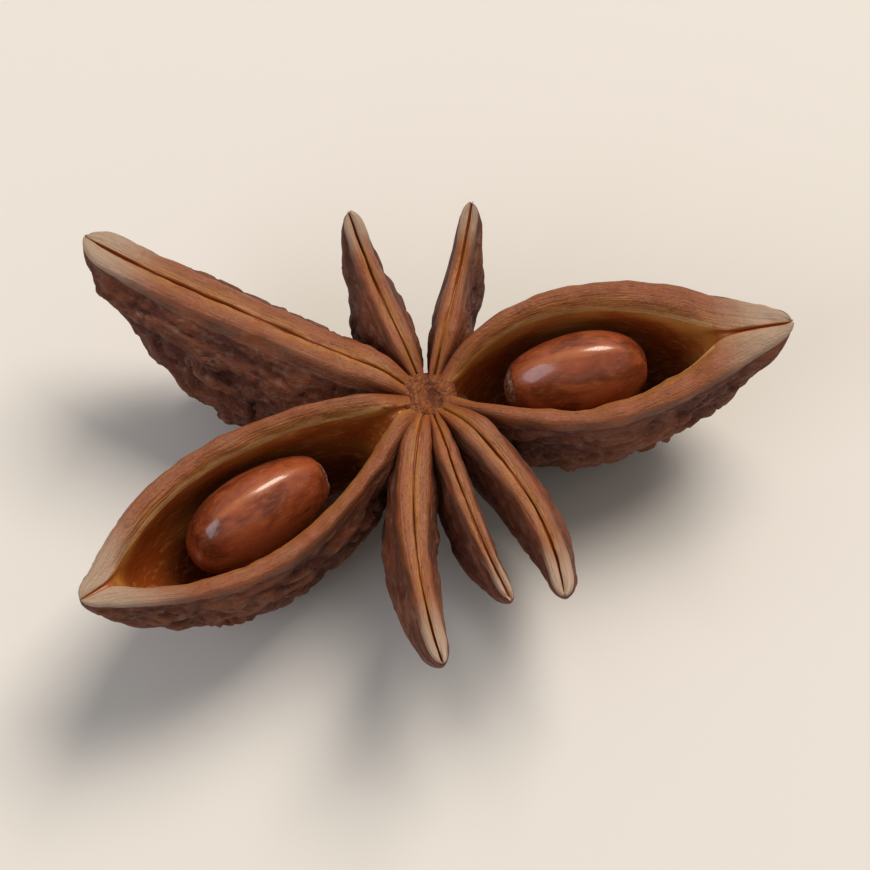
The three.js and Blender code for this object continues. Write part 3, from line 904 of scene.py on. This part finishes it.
def lip_colour(tree, grain, fibre, place, depth, worn):
    """From the brown outer margin to a pale band along the inner edge by the place round the section, the
    pale band partly the lip's own colour and partly a painted highlight, with warm patches 1.5 mm long,
    fibres
    0.08 mm wide and dark specks, worn grey towards the beak. Parted lips end in a thin pale line, the cut
    edge of the hard layer that lines the cavity."""
    fibres = figure(tree, fibre, 1.4, 0.08)
    patches = figure(tree, grain, 1.5, 0.9, detail=4.0)
    specks = figure(tree, grain, 0.3, 0.16)
    place = sum_of(tree, place, patches, 0.05)
    colour = layered(
        tree, LIP_COLOURS, "outer",
        ("middle", place, 0.225, 0.285),
        ("inner_and_painted_highlight", place, 0.3, 0.365),
        ("warm", patches, 0.42, 0.66, 0.75),
        ("fibre", fibres, 0.5, 0.75, 0.5),
        ("fibre", specks, 0.55, 0.72, 0.6),
    )
    edge = blend(tree, between(tree, depth, 0.06, 0.14, 0.7, 0.0), colour, LIP_COLOURS["edge"])
    colour = blend(tree, between(tree, place, 0.348, 0.362), colour, edge)
    worn = sum_of(tree, between(tree, worn, 0.0, 1.0, 0.0, 0.8), fibres, 0.12)
    return blend(tree, worn, colour, LIP_COLOURS["worn"])


def lining_colour(tree, grain, depth):
    """Golden at the lips, brown down the wall and painted dark towards the floor as shade in the cavity,
    with warm patches 5 mm long and veins 0.25 mm wide."""
    veins = figure(tree, grain, 4.0, 0.25, distortion=0.4)
    patches = figure(tree, grain, 5.0, 2.5, detail=2.0)
    return layered(
        tree, LINING_COLOURS, "edge",
        ("wall", depth, 0.02, 0.32),
        ("warm", patches, 0.4, 0.6, 0.75),
        ("painted_cavity_shade", depth, 0.3, 0.8),
        ("vein", veins, 0.5, 0.72, 0.45),
    )


def wood_colour(tree, grain, tone):
    """Torn wood seen on end: fibre ends 0.15 mm wide, with dark pores, and the pores' colour again in the
    hollows as painted shade.
    """
    ends = figure(tree, grain, 1.5, 0.15, detail=4.0)
    pores = figure(tree, grain, 1.0, 0.08, detail=2.0)
    colour = layered(tree, WOOD_COLOURS, "fibre", ("end", ends, 0.38, 0.62), ("pore_and_hollow_shade", pores, 0.52, 0.7))
    # the hollows, where the tone is low, take the pores' colour as painted shade
    return blend(tree, between(tree, tone, -1.2, 0.3, 0.75, 0.0), colour, WOOD_COLOURS["pore_and_hollow_shade"])


def husk_material():
    """Skin, lips, lining and torn wood laid over each other by zone, with their own shine and bump."""
    material, tree = new_material("dried_pericarp_skin_lips_and_lining")
    grain, fibre = fact_of(tree, "grain"), fact_of(tree, "fibre")
    relief = parts_of(tree, fact_of(tree, "relief"))
    zones = add(tree, "ShaderNodeAttribute", attribute_name="zones")
    zone = add(tree, "ShaderNodeSeparateColor", {"Color": zones.outputs["Color"]}).outputs
    ragged = figure(tree, grain, 0.9, 0.35, detail=4.0)
    lip = between(tree, sum_of(tree, zone["Red"], ragged, 0.6), 0.65, 0.95)
    lining = between(tree, sum_of(tree, zone["Green"], ragged, 0.3), 0.55, 0.75)

    tone, place, depth = relief["X"], relief["Y"], relief["Z"]
    lip_finish = lip_colour(tree, grain, fibre, place, depth, zone["Blue"])
    colour = blend(tree, lip, skin_colour(tree, grain, tone), lip_finish)
    colour = blend(tree, lining, colour, lining_colour(tree, grain, depth))
    colour = blend(tree, zones.outputs["Alpha"], colour, wood_colour(tree, grain, tone))

    grit = figure(tree, grain, 0.22, 0.12, detail=6.0)
    pucker = figure(tree, grain, 0.9, 0.45, detail=6.0, distortion=1.2)
    fibres = figure(tree, fibre, 2.4, 0.07)
    dull = between(tree, grit, 0.3, 0.7, *ROUGHNESS["skin"])
    satin = between(tree, fibres, 0.3, 0.7, *ROUGHNESS["lip"])
    polished = between(tree, fibres, 0.3, 0.7, *ROUGHNESS["lining"])
    rough = mix_numbers(tree, lining, mix_numbers(tree, lip, dull, satin), polished)
    shrunk, torn = sum_of(tree, grit, pucker, 3.0), sum_of(tree, fibres, grit, 0.8)
    bump = add(tree, "ShaderNodeBump", {
        "Height": mix_numbers(tree, lip, shrunk, torn),
        "Strength": mix_numbers(tree, lining, 1.0, GRAIN_HEIGHT["lining"]),
        "Distance": GRAIN_HEIGHT["full"] * MM,
    })
    finish(tree, {"Base Color": colour, "Roughness": rough, "Normal": bump.outputs["Normal"], "IOR": 1.42})
    return material


pericarp = husk_material()
husk.data.materials.clear()
husk.data.materials.append(pericarp)
print(pericarp.name, "has", len(pericarp.node_tree.nodes), "nodes")

# %% [markdown]
# ## The seeds' finish
#
# The seed coat is a hard natural varnish over a chestnut-brown shell. What the eye gets is a crisp highlight
# on a deep colour, a slightly paler raphe, and a dull scar. The clear coat's weight and roughness are the
# same all over, so they are set on the shader itself.

# %% The seeds' material

SEED_COLOURS = {
    "shell": "#974a2a", "dark": "#642b16", "light": "#b56f44", "scar": "#b08a68", "pit": "#4a2a1a",
}


def seed_material():
    """Chestnut shell, clouded over 2 mm, paler along the raphe, with a dull scar."""
    material, tree = new_material("varnished_seed_coat")
    grain = fact_of(tree, "grain")
    marks = parts_of(tree, fact_of(tree, "marks"))
    hilum, raphe = marks["X"], marks["Y"]
    clouds = figure(tree, grain, 2.4, 1.2, detail=4.0, distortion=0.5)
    flecks = figure(tree, grain, 0.5, 0.14, detail=4.0)
    colour = layered(
        tree, SEED_COLOURS, "dark",
        ("shell", clouds, 0.35, 0.62),
        ("light", flecks, 0.5, 0.75, 0.35),
        ("light", raphe, 0.2, 1.0, 0.5),
    )
    scar = blend(tree, between(tree, flecks, 0.4, 0.6), SEED_COLOURS["pit"], SEED_COLOURS["scar"])
    colour = blend(tree, hilum, colour, scar)
    rough = mix_numbers(tree, hilum, between(tree, flecks, 0.3, 0.7, 0.2, 0.32), 0.8)
    bump = add(tree, "ShaderNodeBump", {"Height": flecks, "Strength": 0.35, "Distance": 0.02 * MM})
    finish(tree, {
        "Base Color": colour, "Roughness": rough, "Normal": bump.outputs["Normal"],
        "IOR": 1.5, "Coat Weight": 0.5, "Coat Roughness": 0.12,
    })
    return material


seed_coat = seed_material()
for made in seeds.values():
    made.data.materials.append(seed_coat)
print(seed_coat.name, "has", len(seed_coat.node_tree.nodes), "nodes")

# %% [markdown]
# ## Floor and light
#
# A pale, plain floor shows the outline best. The light is soft, as from a window: a large key from behind
# on the right puts the highlights on the seeds, and a weaker fill keeps the shadows between the carpels
# open. Small lamps would be simpler, but their hard shadows would hide the thin carpels.

# %% Stage

FLOOR_HALF = 1.5  # metres
KEY = {"place": (0.26, 0.36, 0.66), "size": 0.44, "power": 6.4, "colour": "#fff5ea"}
FILL = {"place": (-0.55, -0.35, 0.45), "size": 0.5, "power": 2.0, "colour": "#f0f3ff"}


def floor_object():
    """A flat square just under the pod."""
    mesh = bpy.data.meshes.new("floor")
    h, z = FLOOR_HALF, (REST_HEIGHT - 0.01) * MM
    mesh.from_pydata([(-h, -h, z), (h, -h, z), (h, h, z), (-h, h, z)], [], [(0, 1, 2, 3)])
    material, tree = new_material("matt_card")
    finish(tree, {"Base Color": linear("#d9d5ce"), "Roughness": 0.9})
    mesh.materials.append(material)
    return add_object("floor", mesh)


def stand(made, place, back):
    """Puts a light or camera at a place, looking away from a direction."""
    made.location = place
    made.rotation_mode = "QUATERNION"
    made.rotation_quaternion = back.to_track_quat("Z", "Y")


def soft_light(name, place, size, power, colour):
    """A square area light that looks at the pod."""
    light = bpy.data.lights.new(name, "AREA")
    light.size, light.energy, light.color = size, power, linear(colour)[:3]
    made = add_object(name, light)
    stand(made, place, Vector(place))
    made.visible_camera = False


floor = floor_object()
soft_light("key", **KEY)
soft_light("fill", **FILL)

world = bpy.data.worlds.new("pale_room")
bpy.context.scene.world = world
world.use_nodes = True
world.node_tree.nodes.clear()
sky = add(world.node_tree, "ShaderNodeBackground", {"Color": linear("#f2f0ec"), "Strength": 0.34})
add(world.node_tree, "ShaderNodeOutputWorld", {"Surface": sky.outputs["Background"]})
bpy.context.scene.view_settings.view_transform = "Standard"
print("lit by", [light.name for light in bpy.data.lights])

# %% [markdown]
# ## The camera
#
# A pod is so small that a camera at a hand's breadth would bend its shape. A long lens from further away
# keeps it true, and looks down steeply enough to show into the open carpels.

# %% Camera

ELEVATION = np.radians(63)  # the camera looks down this steeply
LENS, SENSOR = 200, 36  # millimetres
VIEW_WIDTH = 38.5 * MM  # what the picture takes in, at the pod
AIM = Vector((0.3, -0.7, 4.6)) * MM

camera = add_object("camera", bpy.data.cameras.new("camera"))
camera.data.lens, camera.data.sensor_width = LENS, SENSOR
camera.data.clip_start, camera.data.clip_end = 0.01, 10
back = Vector((0, -np.cos(ELEVATION), np.sin(ELEVATION)))
stand(camera, AIM + back * VIEW_WIDTH * LENS / SENSOR, back)
bpy.context.scene.camera = camera
print("camera stands", round((camera.location - AIM).length / MM), "mm away")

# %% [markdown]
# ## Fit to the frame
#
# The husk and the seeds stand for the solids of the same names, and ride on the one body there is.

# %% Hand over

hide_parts("husk")
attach(husk, "root")
for name, made in seeds.items():
    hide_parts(name)
    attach(made, "root")
